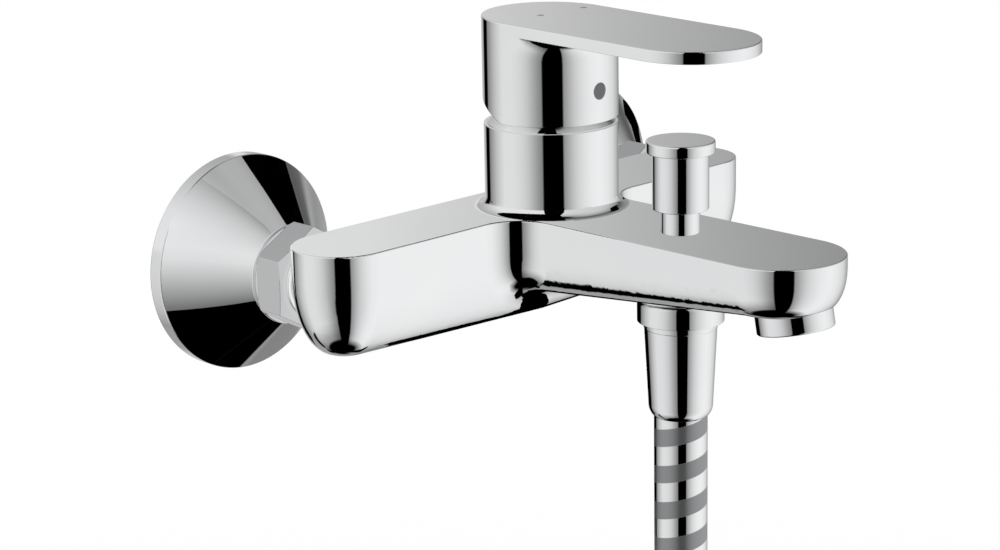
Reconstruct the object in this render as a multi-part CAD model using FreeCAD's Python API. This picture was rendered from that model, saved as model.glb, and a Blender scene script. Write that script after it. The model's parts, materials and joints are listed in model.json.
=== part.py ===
"""Wall mounted bath faucet: single lever mixer with spout, pull-up diverter and shower hose.

Millimetres. X runs along the wall, +Y goes into the wall, +Z is up. The origin is on the wall's
surface, half way between the two water inlets and at their height.
"""
import FreeCAD
import Part

import math
import os

from FreeCAD import Vector as V

# ---------------------------------------------------------------- driving dimensions
INLET_PITCH = 150.0          # centre to centre of the two inlets at the mixer
RUNNING = 0.05               # radial clearance of threads and turning fits
GAP = 0.3                    # gap between neighbours that must not touch

# arms (the wide body between the inlets)
ARM_HALF_WIDTH = 15.5
ARM_AXIS_Y = -54.0
ARM_END_X = INLET_PITCH / 2 + 3.0     # centre of the round end
TOP_Z = 14.6                 # flat top of arms and spout
TOP_EDGE = 0.4               # rounding of the flat top's rim
ARM_END_BOTTOM_Z = -18.8
ARM_MID_BOTTOM_Z = -21.0
ARM_ROUND_ACROSS = 11.0      # quarter ellipse under the arms: across and down
ARM_ROUND_DOWN = 23.0

# spout
SPOUT_HALF_WIDTH = 19.8
SPOUT_TIP_Y = -158.3         # centre of the round tip
SPOUT_ROOT_BOTTOM_Z = -11.3
SPOUT_TIP_BOTTOM_Z = -1.4
SPOUT_ROUND_ACROSS = 5.8
SPOUT_ROUND_DOWN = 11.6
CORNER_RADIUS = 13.0         # concave corners between arms and spout

# column and cartridge
COLUMN_Y = -65.5
COLUMN_R = 21.0
COLUMN_TOP_Z = 41.1
COLUMN_FLARE = 3.4
CARTRIDGE_R = 17.5
CARTRIDGE_FLOOR_Z = 4.0
CARTRIDGE_BASE_H = 4.6
CARTRIDGE_TOP_Z = 30.3
DISC_R = 14.8
MOVING_DISC_R = 11.8
PORT_R = 2.6
PORT_CIRCLE_R = 7.4          # hot and cold ports lie on this circle, in front
MIXED_PORT_Y = 6.8           # mixed port, behind the column's axis
FIXED_DISC_H = 3.4
MOVING_DISC_H = 3.0
CARRIER_H = 4.4
PIVOT_Z = 24.0               # lever pivot above the inlet height
STEM_TIP_Z = 19.3
STEM_TIP_R = 2.2
STEM_HALF = 4.0
STEM_TOP_Z = 61.0
LIFT_DEG = 22.0              # lever lift
BEVEL_DEG = 23.5             # relief cut behind the handle

# neck dome: a sphere about the lever pivot
DOME_R = 26.4
DOME_WALL = 1.6
DOME_TOP_Z = 43.8

# handle
HANDLE_R = 21.2
HANDLE_WALL = 2.4
HANDLE_BOTTOM_Z = 43.4
HANDLE_CAVITY_TOP_Z = 63.0
LEVER_TOP_Z = 74.8           # above the column's axis
LEVER_SLOPE = 0.014          # the lever drops this much per millimetre forward
LEVER_THICK = 3.7
LEVER_TIP_Y = -123.5         # centre of the lever's round end
LEVER_EDGE = 0.4             # rounding of the lever's upper rim
HUB_R = 7.6
HUB_BOTTOM_Z = 49.6
LEVER_BLEND = 7.5            # how far the neck bends forward under the lever
SCREW_Z = 53.3
SCREW_R = 2.0
PLUG_R = 2.6

# diverter
DIVERTER_Y = -119.6
KNOB_R = 10.5
KNOB_TOP_Z = 42.8
KNOB_DISC_H = 3.6
SLEEVE_R = 8.6
SLEEVE_BOTTOM_Z = 21.8
GUIDE_R = 5.9
GUIDE_TOP_Z = 33.0
ROD_R = 2.0
SPRING_BORE_R = 4.4
DIVERTER_TRAVEL = 8.0
CHAMBER_R = 8.5
CHAMBER_TOP_Z = 6.0

# shower outlet
BOSS_R = 13.3
BOSS_BOTTOM_Z = -12.9
BOSS_FILLET = 2.0
NIPPLE_SOCKET_R = 9.4
SEAT_Z = -6.2
NIPPLE_THREAD_R = 10.0
NIPPLE_BORE_R = 7.2
NIPPLE_BOTTOM_Z = -23.2
CHECK_TRAVEL = 2.5

# aerator
AERATOR_Y = -163.7           # centre on the spout's underside
AERATOR_Z = -1.6
AERATOR_TILT_DEG = 11.0
AERATOR_R = 11.6
AERATOR_THREAD_R = 9.4
AERATOR_PROUD = 6.0
AERATOR_DEPTH = 7.0
AERATOR_SEAT = 2.6           # the ring's shoulder sinks this far into the spout

# cored and drilled ways inside the casting
CORE_R = 7.5                 # round core along each arm
CORE_Y = -56.0
CORE_Z = -3.0
CORE_INNER_X = 27.0
WAY_R = 3.0
WAY_Z = -4.5
MIXED_WAY_Z = -0.4
SPOUT_CORE_HALF = 9.0        # flat cores in the spout, on both sides of the diverter

# inlets
UNION_FLAT = 29.0            # across flats
UNION_COLLAR_R = 15.6        # round collar at the back of the hexagon
UNION_BACK_Y = -26.3
UNION_FRONT_Y = -38.1
UNION_THREAD_R = 13.2        # G3/4
WALL_THREAD_R = 10.48        # G1/2
WALL_THREAD_LENGTH = 20.0
ECCENTRIC = 6.0              # wall thread below the inlet axis
CRANK_R = 13.5               # disc that joins the two threads in front of the wall
CRANK_H = 7.0
UNION_PIPE_END_Y = -31.6     # where the larger thread ends inside the nut
UNION_BORE_R = 7.5
INLET_TUBE_R = 11.6
INLET_THREAD_R = 10.4
INLET_THREAD_END_Y = -49.0
WASHER_H = 2.2

# escutcheon
ROSE_R = 34.0
ROSE_RIM = 4.8
ROSE_SMALL_R = 14.8
ROSE_FRONT_Y = -25.2
ROSE_WALL = 1.4

# hose
HOSE_R = 8.25
HOSE_LENGTH = 1250.0         # whole hose between its metal ends
HOSE_TOP_Z = -43.2
NUT_TOP_Z = BOSS_BOTTOM_Z - GAP
NUT_TOP_R = 11.3
NUT_LOW_R = 9.9
NUT_BOTTOM_Z = -43.1
NUT_FLANGE_Z = -27.0
FERRULE_R = 7.6
COIL_R = 85.0                # middle of the turns
COIL_TOP_Z = -92.0
COIL_STEP = 2 * HOSE_R + GAP  # from one turn to the next
TAIL_LENGTH = 62.0
CONNECTOR_R = 11.8
CONNECTOR_THREAD_R = 9.5

UP = V(0, 0, 1)
BACK = V(0, 1, 0)


# ---------------------------------------------------------------- small helpers
def cyl(r, z0, z1, x=0.0, y=0.0):
    return Part.makeCylinder(r, z1 - z0, V(x, y, z0), UP)


def tube(r, bore, z0, z1, x=0.0, y=0.0):
    return cyl(r, z0, z1, x, y).cut(cyl(bore, z0 - 1, z1 + 1, x, y))


def cyl_y(r, y0, y1, x=0.0, z=0.0):
    return Part.makeCylinder(r, y1 - y0, V(x, y0, z), BACK)


def tube_y(r, bore, y0, y1, x=0.0, z=0.0):
    return cyl_y(r, y0, y1, x, z).cut(cyl_y(bore, y0 - 1, y1 + 1, x, z))


def box(x0, x1, y0, y1, z0, z1):
    return Part.makeBox(x1 - x0, y1 - y0, z1 - z0, V(x0, y0, z0))


def wire(points):
    return Part.makePolygon([V(*p) for p in points] + [V(*points[0])])


def profile(points, place):
    """A closed face; a corner that comes with a third value is rounded with that radius."""
    corners = [place(*point[:2]) for point in points]
    joints = []
    for i, point in enumerate(points):
        here = corners[i]
        if len(point) == 2:
            joints.append((here, here, here))
            continue
        back = (corners[i - 1] - here).normalize()
        ahead = (corners[(i + 1) % len(points)] - here).normalize()
        half = back.getAngle(ahead) / 2
        reach = point[2] / math.tan(half)
        inward = (back + ahead).normalize() * (point[2] / math.sin(half) - point[2])
        joints.append((here + back * reach, here + inward, here + ahead * reach))
    edges = []
    for i, (start, middle, end) in enumerate(joints):
        if len(points[i]) == 3:
            edges.append(Part.Arc(start, middle, end).toShape())
        edges.append(Part.LineSegment(end, joints[(i + 1) % len(joints)][0]).toShape())
    return Part.Face(Part.Wire(edges))


def turned(points, x=0.0, y=0.0):
    """A revolve about the vertical line at (x, y); points are (radius, z)."""
    face = profile(points, lambda r, z: V(x + r, y, z))
    return face.revolve(V(x, y, 0), UP, 360)


def turned_y(points, x=0.0, z=0.0):
    """A revolve about the line along Y at (x, z); points are (radius, y)."""
    face = profile(points, lambda r, y: V(x + r, y, z))
    return face.revolve(V(x, 0, z), BACK, 360)


def hexagon(flat, z0, z1, x=0.0, y=0.0, turn=0.0):
    corner = flat / math.sqrt(3)
    angles = [math.radians(turn + 60 * i) for i in range(6)]
    points = [(x + corner * math.cos(a), y + corner * math.sin(a), z0) for a in angles]
    return Part.Face(wire(points)).extrude(V(0, 0, z1 - z0))


def ring(major, minor, z, x=0.0, y=0.0):
    return Part.makeTorus(major, minor, V(x, y, z), UP)


def stadium(half, x, y0, y1, z0, z1):
    """A slab with round ends, centred on x, its end centres at y0 (front) and y1 (back)."""
    straight = box(x - half, x + half, y0, y1, z0, z1)
    return straight.fuse(cyl(half, z0, z1, x, y0)).fuse(cyl(half, z0, z1, x, y1)).removeSplitter()


def coil_spring(mean_r, wire_r, z0, z1, turns, x=0.0, y=0.0):
    """An open helix of square wire in flat facets, which stays between z0 and z1."""
    steps = turns * 10
    rise = z1 - z0 - 2 * wire_r
    sections = []
    for i in range(steps + 1):
        angle = 2 * math.pi * i / 10
        z = z0 + wire_r + rise * i / steps
        corners = ((mean_r + wire_r, z), (mean_r, z + wire_r), (mean_r - wire_r, z),
                   (mean_r, z - wire_r))
        sections.append([V(x + r * math.cos(angle), y + r * math.sin(angle), h)
                         for r, h in corners])
    faces = [Part.Face(Part.makePolygon(end + end[:1])) for end in (sections[0], sections[-1])]
    for here, there in zip(sections, sections[1:]):
        for k in range(4):
            m = (k + 1) % 4
            for corner in ((here[k], here[m], there[m]), (here[k], there[m], there[k])):
                faces.append(Part.Face(Part.makePolygon(list(corner) + [corner[0]])))
    solid = Part.makeSolid(Part.makeShell(faces))
    if solid.Volume < 0:
        solid.reverse()
    return solid


def save(name, shape):
    shape.exportStep("parts/%s.step" % name)
    print("%-24s volume %10.2f  solids %d  valid %s"
          % (name, shape.Volume, len(shape.Solids), shape.isValid()))


# ---------------------------------------------------------------- cast body
def quarter(start, corner, end):
    """A quarter of an ellipse from start to end whose tangents meet at corner."""
    curve = Part.BezierCurve()
    curve.setPoles([start, corner, end])
    curve.setWeight(2, math.sqrt(0.5))
    return curve.toShape()


def cross_section(half, bottom, across, down, place):
    """Flat top, upright sides and a bottom rounded by two quarter ellipses."""
    edges = [
        Part.LineSegment(place(-half, TOP_Z), place(half, TOP_Z)).toShape(),
        Part.LineSegment(place(half, TOP_Z), place(half, bottom + down)).toShape(),
        quarter(place(half, bottom + down), place(half, bottom), place(half - across, bottom)),
        Part.LineSegment(place(half - across, bottom), place(across - half, bottom)).toShape(),
        quarter(place(across - half, bottom), place(-half, bottom), place(-half, bottom + down)),
        Part.LineSegment(place(-half, bottom + down), place(-half, TOP_Z)).toShape(),
    ]
    return Part.Wire(edges)


def round_end(half, bottom, across, down, x, y, start, turn):
    """The half turn of the same section about a vertical line, which closes a bar's end."""
    def place(s, z):
        return V(x + s * start.x, y + s * start.y, z)
    edges = [
        Part.LineSegment(place(0, TOP_Z), place(half, TOP_Z)).toShape(),
        Part.LineSegment(place(half, TOP_Z), place(half, bottom + down)).toShape(),
        quarter(place(half, bottom + down), place(half, bottom), place(half - across, bottom)),
        Part.LineSegment(place(half - across, bottom), place(0, bottom)).toShape(),
        Part.LineSegment(place(0, bottom), place(0, TOP_Z)).toShape(),
    ]
    return Part.Face(Part.Wire(edges)).revolve(V(x, y, 0), UP, turn)


def arm(side):
    def at(x):
        return lambda s, z: V(x, ARM_AXIS_Y + s, z)
    down_mid = ARM_ROUND_DOWN + ARM_END_BOTTOM_Z - ARM_MID_BOTTOM_Z
    outer = cross_section(ARM_HALF_WIDTH, ARM_END_BOTTOM_Z, ARM_ROUND_ACROSS, ARM_ROUND_DOWN,
                          at(side * ARM_END_X))
    middle = cross_section(ARM_HALF_WIDTH, ARM_MID_BOTTOM_Z, ARM_ROUND_ACROSS, down_mid, at(0))
    bar = Part.makeLoft([outer, middle], True, True)
    end = round_end(ARM_HALF_WIDTH, ARM_END_BOTTOM_Z, ARM_ROUND_ACROSS, ARM_ROUND_DOWN,
                    side * ARM_END_X, ARM_AXIS_Y, V(0, -1, 0), 180 * side)
    return bar.fuse(end)


def spout():
    def at(y):
        return lambda s, z: V(s, y, z)
    root = cross_section(SPOUT_HALF_WIDTH, SPOUT_ROOT_BOTTOM_Z, SPOUT_ROUND_ACROSS,
                         SPOUT_ROUND_DOWN, at(ARM_AXIS_Y))
    tip = cross_section(SPOUT_HALF_WIDTH, SPOUT_TIP_BOTTOM_Z, SPOUT_ROUND_ACROSS,
                        SPOUT_ROUND_DOWN, at(SPOUT_TIP_Y))
    bar = Part.makeLoft([root, tip], True, True)
    end = round_end(SPOUT_HALF_WIDTH, SPOUT_TIP_BOTTOM_Z, SPOUT_ROUND_ACROSS, SPOUT_ROUND_DOWN,
                    0, SPOUT_TIP_Y, V(1, 0, 0), -180)
    return bar.fuse(end)


def corner_edges(shape):
    """The edges where the spout leaves the front of the arms."""
    front = ARM_AXIS_Y - ARM_HALF_WIDTH
    found = []
    for edge in shape.Edges:
        b = edge.BoundBox
        near_front = b.YMax < ARM_AXIS_Y - 1 and b.YMin > front - 2
        if near_front and b.XMin > -SPOUT_HALF_WIDTH - 1 and b.XMax < SPOUT_HALF_WIDTH + 1 \
                and b.ZMin < TOP_Z - 0.1:
            found.append(edge)
    return found


def top_rim(shape):
    """The outline of the flat top."""
    return [edge for edge in shape.Edges if edge.BoundBox.ZMin > TOP_Z - 0.01]


def column_flare(body):
    """The small cove that the column stands on, trimmed to the body's outline."""
    r = COLUMN_FLARE
    inner = COLUMN_R - 2
    mid = math.sqrt(0.5)
    centre = (COLUMN_R + r, TOP_Z + r)
    arc = Part.Arc(V(COLUMN_R, COLUMN_Y, TOP_Z + r),
                   V(centre[0] - r * mid, COLUMN_Y, centre[1] - r * mid),
                   V(COLUMN_R + r, COLUMN_Y, TOP_Z)).toShape()
    corners = [V(COLUMN_R + r, COLUMN_Y, TOP_Z), V(inner, COLUMN_Y, TOP_Z),
               V(inner, COLUMN_Y, TOP_Z + r), V(COLUMN_R, COLUMN_Y, TOP_Z + r)]
    lines = [Part.LineSegment(a, b).toShape() for a, b in zip(corners, corners[1:])]
    cove = Part.Face(Part.Wire([arc] + lines)).revolve(V(0, COLUMN_Y, 0), UP, 360)
    top = max((f for f in body.Faces if f.BoundBox.ZMin > TOP_Z - 0.01), key=lambda f: f.Area)
    return cove.common(top.extrude(V(0, 0, r + 1)))


def spout_bottom(y):
    """Height of the spout's underside at y."""
    share = (y - SPOUT_TIP_Y) / (ARM_AXIS_Y - SPOUT_TIP_Y)
    return SPOUT_TIP_BOTTOM_Z + share * (SPOUT_ROOT_BOTTOM_Z - SPOUT_TIP_BOTTOM_Z)


def boss():
    """The round outlet boss under the spout with a cove at its root."""
    z = spout_bottom(DIVERTER_Y)
    r = BOSS_FILLET
    post = cyl(BOSS_R, BOSS_BOTTOM_Z, z + 2, 0, DIVERTER_Y)
    cove = cyl(BOSS_R + r, z - r, z + 2, 0, DIVERTER_Y)
    cove = cove.cut(ring(BOSS_R + r, r, z - r, 0, DIVERTER_Y))
    return post.fuse(cove)


def aerator_frame(shape):
    """Turn a shape modelled upright at the origin into the tilted aerator's place."""
    shape.rotate(V(0, 0, 0), V(1, 0, 0), -AERATOR_TILT_DEG)
    shape.translate(V(0, AERATOR_Y, AERATOR_Z))
    return shape


def port_places():
    """The three ports of the cartridge: hot and cold in front, mixed behind."""
    across = PORT_CIRCLE_R * math.sin(math.radians(42))
    ahead = PORT_CIRCLE_R * math.cos(math.radians(42))
    return [(-across, COLUMN_Y - ahead), (across, COLUMN_Y - ahead), (0.0, COLUMN_Y + MIXED_PORT_Y)]


def waterways():
    """Ways from the inlets to the cartridge, and on to the diverter and the aerator."""
    ways = []
    front_y = port_places()[1][1]
    port_x = port_places()[1][0]
    for side in (-1, 1):
        x = side * INLET_PITCH / 2
        out = V(side, 0, 0)
        ways.append(cyl_y(INLET_THREAD_R + RUNNING, INLET_THREAD_END_Y, ARM_AXIS_Y + 20, x))
        ways.append(cyl_y(5.0, CORE_Y, INLET_THREAD_END_Y + 1, x, CORE_Z))
        ways.append(Part.makeCylinder(CORE_R, side * x - CORE_INNER_X + 4,
                                      V(side * CORE_INNER_X, CORE_Y, CORE_Z), out))
        ways.append(Part.makeCylinder(WAY_R, CORE_INNER_X - port_x + 1,
                                      V(side * port_x, CORE_Y, WAY_Z), out))
        ways.append(cyl_y(WAY_R, front_y, CORE_Y, side * port_x, WAY_Z))
        ways.append(cyl(PORT_R, WAY_Z, CARTRIDGE_FLOOR_Z + 1, side * port_x, front_y))
    mixed_y = port_places()[2][1]
    ways.append(cyl(PORT_R, MIXED_WAY_Z, CARTRIDGE_FLOOR_Z + 1, 0, mixed_y))
    ways.append(cyl_y(WAY_R, DIVERTER_Y, mixed_y + 1, 0, MIXED_WAY_Z))
    ways.append(stadium(SPOUT_CORE_HALF, 0, DIVERTER_Y + 19, DIVERTER_Y + 22, -3.0, 9.0))
    ways.append(cyl_y(WAY_R, AERATOR_Y, DIVERTER_Y, 0, CHAMBER_TOP_Z + 2.0))
    ways.append(stadium(SPOUT_CORE_HALF, 0, AERATOR_Y + 4, DIVERTER_Y - 18, 4.0, 10.5))
    return ways


def mixer_body():
    body = arm(1).fuse(arm(-1)).fuse(spout()).removeSplitter()
    body = body.makeFillet(CORNER_RADIUS, corner_edges(body))
    body = body.makeFillet(TOP_EDGE, top_rim(body))
    flare = column_flare(body)
    body = body.fuse(cyl(COLUMN_R, TOP_Z - 8, COLUMN_TOP_Z, 0, COLUMN_Y)).fuse(flare).fuse(boss())
    body = body.cut(cyl(CARTRIDGE_R + RUNNING, CARTRIDGE_FLOOR_Z, COLUMN_TOP_Z + 1, 0, COLUMN_Y))
    body = body.cut(cyl(GUIDE_R + RUNNING, CHAMBER_TOP_Z - 1, TOP_Z + 1, 0, DIVERTER_Y))
    body = body.cut(cyl(CHAMBER_R, SEAT_Z - 1, CHAMBER_TOP_Z, 0, DIVERTER_Y))
    body = body.cut(cyl(NIPPLE_SOCKET_R, BOSS_BOTTOM_Z - 1, SEAT_Z, 0, DIVERTER_Y))
    body = body.cut(aerator_frame(cyl(AERATOR_THREAD_R + RUNNING, -20, AERATOR_DEPTH)))
    body = body.cut(aerator_frame(cyl(AERATOR_R + RUNNING, -20, AERATOR_SEAT + RUNNING)))
    for way in waterways():
        body = body.cut(way)
    return body.removeSplitter()


# ---------------------------------------------------------------- inlet side
def s_union(side):
    """Eccentric connector: wall thread below, union thread on the inlet axis."""
    x = side * INLET_PITCH / 2
    wall = cyl_y(WALL_THREAD_R, -1, WALL_THREAD_LENGTH, x, -ECCENTRIC)
    crank = cyl_y(CRANK_R, -CRANK_H, 0, x, -ECCENTRIC + CRANK_R - WALL_THREAD_R - GAP)
    thread = cyl_y(UNION_THREAD_R, UNION_PIPE_END_Y, -CRANK_H + 1, x)
    union = wall.fuse(crank).fuse(thread)
    union = union.cut(cyl_y(UNION_BORE_R - 1.5, -5, WALL_THREAD_LENGTH + 1, x, -ECCENTRIC))
    union = union.cut(cyl_y(UNION_BORE_R + 1.5, UNION_PIPE_END_Y - 1, -4, x))
    return union.removeSplitter()


def escutcheon(side):
    """Thin conical cover with an upright rim that lies against the wall."""
    thread = UNION_THREAD_R + 2 * RUNNING
    slope = (ROSE_R - ROSE_SMALL_R) / (-ROSE_RIM - ROSE_FRONT_Y)
    collar = ROSE_FRONT_Y + 2 * ROSE_WALL
    collar_r = ROSE_SMALL_R + slope * 2 * ROSE_WALL - 1.4 * ROSE_WALL
    points = [
        (ROSE_R, 0), (ROSE_R, -ROSE_RIM, 0.5), (ROSE_SMALL_R, ROSE_FRONT_Y, 0.4),
        (thread, ROSE_FRONT_Y),
        (thread, collar), (collar_r, collar), (ROSE_R - ROSE_WALL, -ROSE_RIM + 0.4 * ROSE_WALL),
        (ROSE_R - ROSE_WALL, 0),
    ]
    return turned_y(points, side * INLET_PITCH / 2)


def union_nut(side):
    """Hexagon nut with a round collar behind, held on the inlet nipple's flange."""
    x = side * INLET_PITCH / 2
    corner = UNION_FLAT / math.sqrt(3) + 0.01
    back = UNION_BACK_Y - 0.6
    blank = hexagon(UNION_FLAT, 0, back - UNION_FRONT_Y)
    blank.rotate(V(0, 0, 0), V(1, 0, 0), -90)
    blank.rotate(V(0, 0, 0), BACK, 30)
    blank.translate(V(x, UNION_FRONT_Y, 0))
    turning = turned_y([(0, back), (UNION_COLLAR_R - 0.4, back), (corner, back - 1.6),
                        (corner, UNION_FRONT_Y + 0.6), (corner - 3.3, UNION_FRONT_Y),
                        (0, UNION_FRONT_Y)], x)
    collar = turned_y([(0, UNION_BACK_Y), (UNION_COLLAR_R, UNION_BACK_Y, 0.3),
                       (UNION_COLLAR_R, UNION_BACK_Y - 1.3, 0.3), (0, UNION_BACK_Y - 1.3)], x)
    nut = blank.common(turning).fuse(collar)
    lip = UNION_FRONT_Y + 2.4
    nut = nut.cut(cyl_y(UNION_THREAD_R + RUNNING, lip, 0, x))
    return nut.cut(cyl_y(INLET_TUBE_R + GAP, UNION_FRONT_Y - 1, lip + 1, x))


def inlet_nipple(side):
    """Threaded tube in the arm whose flange keeps the union nut."""
    x = side * INLET_PITCH / 2
    lip = UNION_FRONT_Y + 2.4
    flange = UNION_THREAD_R - 0.4
    arm_back = ARM_AXIS_Y + ARM_HALF_WIDTH
    points = [
        (6.0, INLET_THREAD_END_Y + 0.5), (INLET_THREAD_R, INLET_THREAD_END_Y + 0.5),
        (INLET_THREAD_R, arm_back + 0.05), (INLET_TUBE_R, arm_back + 0.05), (INLET_TUBE_R, lip),
        (flange, lip), (flange, lip + 1.6), (6.0, lip + 1.6),
    ]
    return turned_y(points, x)


def filter_washer(side):
    """Rubber washer with a thin strainer across it, between nipple and S-union."""
    x = side * INLET_PITCH / 2
    back = UNION_PIPE_END_Y
    front = UNION_FRONT_Y + 2.4 + 1.6
    washer = tube_y(UNION_THREAD_R - 0.5, 6.5, front, back, x)
    strainer = cyl_y(6.6, front + 0.8, front + 1.3, x)
    holes = [cyl_y(0.9, front, back, x + 3.6 * math.cos(a), 3.6 * math.sin(a))
             for a in [math.radians(60 * i) for i in range(6)]]
    return washer.fuse(strainer.cut(holes[0].multiFuse(holes[1:])))


# ---------------------------------------------------------------- cartridge
def base_top():
    return CARTRIDGE_FLOOR_Z + 0.6 + CARTRIDGE_BASE_H


def cartridge_base():
    z0 = CARTRIDGE_FLOOR_Z + 0.6
    base = cyl(CARTRIDGE_R, z0, base_top(), 0, COLUMN_Y)
    for x, y in port_places():
        base = base.cut(cyl(PORT_R, z0 - 1, base_top() + 1, x, y))
        base = base.cut(cyl(PORT_R + 1.4, z0 - 1, z0 + 1.2, x, y))
    groove_z = z0 + 2.6
    groove = tube(CARTRIDGE_R + 1, CARTRIDGE_R - 2.0, groove_z - 1.0, groove_z + 1.0, 0, COLUMN_Y)
    return base.cut(groove)


def cartridge_base_seals():
    z0 = CARTRIDGE_FLOOR_Z
    rings = [tube(PORT_R + 1.3, PORT_R + 0.1, z0, z0 + 1.75, x, y) for x, y in port_places()]
    return Part.makeCompound(rings)


def cartridge_o_ring():
    z = CARTRIDGE_FLOOR_Z + 0.6 + 2.6
    return ring(CARTRIDGE_R - 0.97, 0.95, z, 0, COLUMN_Y)


def fixed_disc():
    z0 = base_top()
    disc = cyl(DISC_R, z0, z0 + FIXED_DISC_H, 0, COLUMN_Y)
    for x, y in port_places():
        disc = disc.cut(cyl(PORT_R, z0 - 1, z0 + FIXED_DISC_H + 1, x, y))
    return disc


def moving_disc():
    """Disc with a keyhole chamber underneath.

    Closed, the chamber reaches the mixed port alone at every swivel angle. Lifting the lever
    slides its round middle over the hot and cold ports, and swivelling favours one of them.
    """
    z0 = base_top() + FIXED_DISC_H
    roof = z0 + MOVING_DISC_H * 0.55
    disc = cyl(MOVING_DISC_R, z0, z0 + MOVING_DISC_H, 0, COLUMN_Y)
    middle = cyl(PORT_CIRCLE_R - PORT_R - 0.2, z0 - 1, roof, 0, COLUMN_Y)
    spread = 14 * math.tan(math.radians(60))
    wedge = Part.Face(wire([(0, COLUMN_Y, z0 - 1), (spread, COLUMN_Y + 14, z0 - 1),
                            (-spread, COLUMN_Y + 14, z0 - 1)])).extrude(V(0, 0, roof - z0 + 1))
    return disc.cut(middle).cut(wedge.common(cyl(MOVING_DISC_R - 2.4, z0 - 1, roof, 0, COLUMN_Y)))


def carrier_bottom():
    return base_top() + FIXED_DISC_H + MOVING_DISC_H


def disc_carrier():
    z0 = carrier_bottom()
    slot = STEM_TIP_R + 0.15
    top = z0 + CARRIER_H
    carrier = cyl(MOVING_DISC_R, z0, top, 0, COLUMN_Y)
    pocket = box(-5, 5, COLUMN_Y - slot, COLUMN_Y + slot, STEM_TIP_Z - STEM_TIP_R - 0.4, top + 1)
    return carrier.cut(pocket)


def rotor_bottom():
    return carrier_bottom() + CARRIER_H + GAP


def cartridge_rotor():
    top = CARTRIDGE_TOP_Z - 2.7 - GAP
    rotor = cyl(CARTRIDGE_R - 2.35, rotor_bottom(), top, 0, COLUMN_Y)
    reach = STEM_HALF + (top - rotor_bottom()) * math.tan(math.radians(LIFT_DEG))
    slot_x = STEM_HALF + 0.1
    slot = box(-slot_x, slot_x, COLUMN_Y - reach, COLUMN_Y + reach, rotor_bottom() - 1, top + 1)
    pin = Part.makeCylinder(1.55, 24, V(-12, COLUMN_Y, PIVOT_Z), V(1, 0, 0))
    return rotor.cut(slot).cut(pin)


def pivot_pin():
    return Part.makeCylinder(1.5, 23, V(-11.5, COLUMN_Y, PIVOT_Z), V(1, 0, 0))


def lever_stem():
    """Square bar with a ball at its lower end, pivoting on the pin."""
    y = COLUMN_Y
    bar = box(-STEM_HALF, STEM_HALF, y - STEM_HALF, y + STEM_HALF, PIVOT_Z - 2.4, STEM_TOP_Z)
    neck = cyl(1.7, STEM_TIP_Z, PIVOT_Z - 2, 0, y)
    tip = Part.makeSphere(STEM_TIP_R, V(0, y, STEM_TIP_Z))
    hole = Part.makeCylinder(1.5 + RUNNING, 24, V(-12, y, PIVOT_Z), V(1, 0, 0))
    return bar.fuse(neck).fuse(tip).cut(hole)


def cartridge_housing():
    z0 = base_top()
    shell = cyl(CARTRIDGE_R, z0, CARTRIDGE_TOP_Z, 0, COLUMN_Y)
    inside = cyl(CARTRIDGE_R - 2.3, z0 - 1, CARTRIDGE_TOP_Z - 2.7, 0, COLUMN_Y)
    mouth = cyl(9.5, z0, CARTRIDGE_TOP_Z + 1, 0, COLUMN_Y)
    return shell.cut(inside).cut(mouth)


def cartridge_nut():
    """Threaded ring with a hexagon that clamps the cartridge down."""
    z0 = CARTRIDGE_TOP_Z
    nut = cyl(CARTRIDGE_R, z0, z0 + 4, 0, COLUMN_Y)
    nut = nut.fuse(hexagon(27.0, z0 + 4, z0 + 6.9, 0, COLUMN_Y))
    return nut.cut(cyl(12.0, z0 - 1, z0 + 8, 0, COLUMN_Y))


def neck_dome():
    """Cover that stands on the column and follows a sphere about the lever's pivot."""
    def at(r, angle):
        return V(r * math.sin(angle), COLUMN_Y, PIVOT_Z + r * math.cos(angle))
    inner = DOME_R - DOME_WALL
    spigot_r = CARTRIDGE_R - RUNNING
    spigot_in = spigot_r - 1.4
    spigot_z = CARTRIDGE_TOP_Z + 7.4
    out_low = math.acos((COLUMN_TOP_Z - PIVOT_Z) / DOME_R)
    out_high = math.acos((DOME_TOP_Z - PIVOT_Z) / DOME_R)
    in_low = math.asin(spigot_in / inner)
    in_high = math.acos((DOME_TOP_Z - PIVOT_Z) / inner)
    corners_low = [at(DOME_R, out_low), V(spigot_r, COLUMN_Y, COLUMN_TOP_Z),
                   V(spigot_r, COLUMN_Y, spigot_z), V(spigot_in, COLUMN_Y, spigot_z),
                   at(inner, in_low)]
    edges = [Part.Arc(at(DOME_R, out_high), at(DOME_R, (out_high + out_low) / 2),
                      at(DOME_R, out_low)).toShape()]
    edges += [Part.LineSegment(a, b).toShape() for a, b in zip(corners_low, corners_low[1:])]
    edges.append(Part.Arc(at(inner, in_low), at(inner, (in_high + in_low) / 2),
                          at(inner, in_high)).toShape())
    edges.append(Part.LineSegment(at(inner, in_high), at(DOME_R, out_high)).toShape())
    return Part.Face(Part.Wire(edges)).revolve(V(0, COLUMN_Y, 0), UP, 360)


# ---------------------------------------------------------------- handle
def bevel_tool():
    """Everything behind the column axis and under the tilted relief plane."""
    tilt = math.radians(BEVEL_DEG)
    lift = COLUMN_TOP_Z + GAP + 0.1 - PIVOT_Z
    reach = HANDLE_R + 6
    z_mid = PIVOT_Z + lift / math.cos(tilt)
    points = [(-60, COLUMN_Y, z_mid), (-60, COLUMN_Y + reach, z_mid + reach * math.tan(tilt)),
              (-60, COLUMN_Y + reach, 0), (-60, COLUMN_Y, 0)]
    return Part.Face(wire(points)).extrude(V(120, 0, 0))


def underside(y):
    """Height of the lever's underside at y; its top runs parallel to it."""
    return LEVER_TOP_Z - LEVER_THICK + LEVER_SLOPE * (y - COLUMN_Y)


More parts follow.
